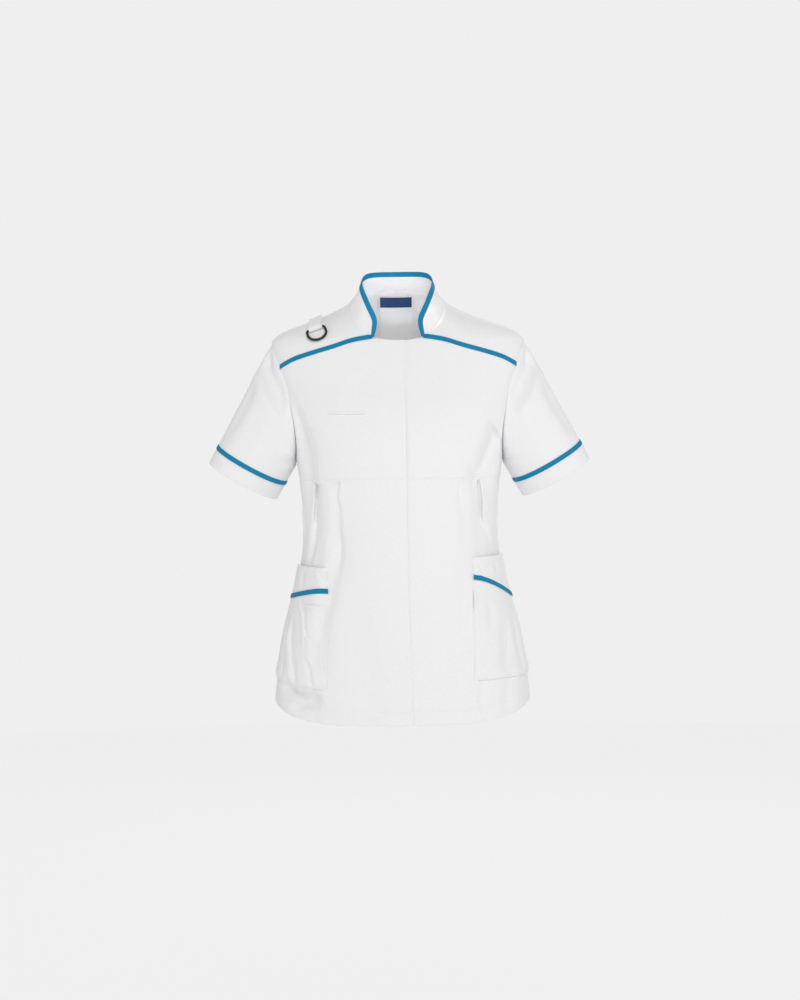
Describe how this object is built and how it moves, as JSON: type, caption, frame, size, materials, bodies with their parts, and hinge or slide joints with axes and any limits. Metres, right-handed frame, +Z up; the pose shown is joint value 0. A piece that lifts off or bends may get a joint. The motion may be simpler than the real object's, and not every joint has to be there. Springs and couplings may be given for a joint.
{
  "type": "maternity tunic",
  "caption": "Short-sleeved maternity work tunic with a concealed front, stand collar, pleats under a raised waist, patch hip pockets, contrast piping and a D-ring on the shoulder",
  "frame": {"origin": "Midway between the two points where the shoulder lines meet the neckline, where the wearer's shoulders carry the tunic.", "axes": "+X is the wearer's left, -Y is the front, +Z is up."},
  "size_m": [0.6424, 0.314, 0.7566],
  "materials": {
    "cloth": "matt",
    "piping": "matt",
    "label_header": "matt",
    "label": "satin",
    "ring": "semi-gloss"
  },
  "bodies": {
    "garment": {"front_skirt_right": "cloth", "bodice_front_right": "cloth", "yoke_right": "cloth", "sleeve_right": "cloth", "sleeve_hem_band_right": "cloth", "hip_pocket_band_right": "cloth", "hip_pocket_right": "cloth", "front_skirt_left": "cloth", "bodice_front_left": "cloth", "yoke_left": "cloth", "sleeve_left": "cloth", "sleeve_hem_band_left": "cloth", "hip_pocket_band_left": "cloth", "hip_pocket_left": "cloth", "back": "cloth", "collar": "cloth", "pen_pocket": "cloth", "chest_pocket_welt": "cloth", "d_ring_tab": "cloth", "collar_binding": "piping", "yoke_piping_right": "piping", "sleeve_piping_right": "piping", "hip_pocket_piping_right": "piping", "yoke_piping_left": "piping", "sleeve_piping_left": "piping", "hip_pocket_piping_left": "piping", "neck_label_header": "label_header", "neck_label": "label"},
    "d_ring": {"d_ring": "ring"}
  },
  "joints": [
    {"name": "d_ring_swing", "type": "hinge", "parent": "garment", "child": "d_ring", "pos_m": [-0.13747, -0.05881, -0.04684], "axis": [-0.944, -0.0411, -0.3273], "range_deg": [0, 150]}
  ]
}
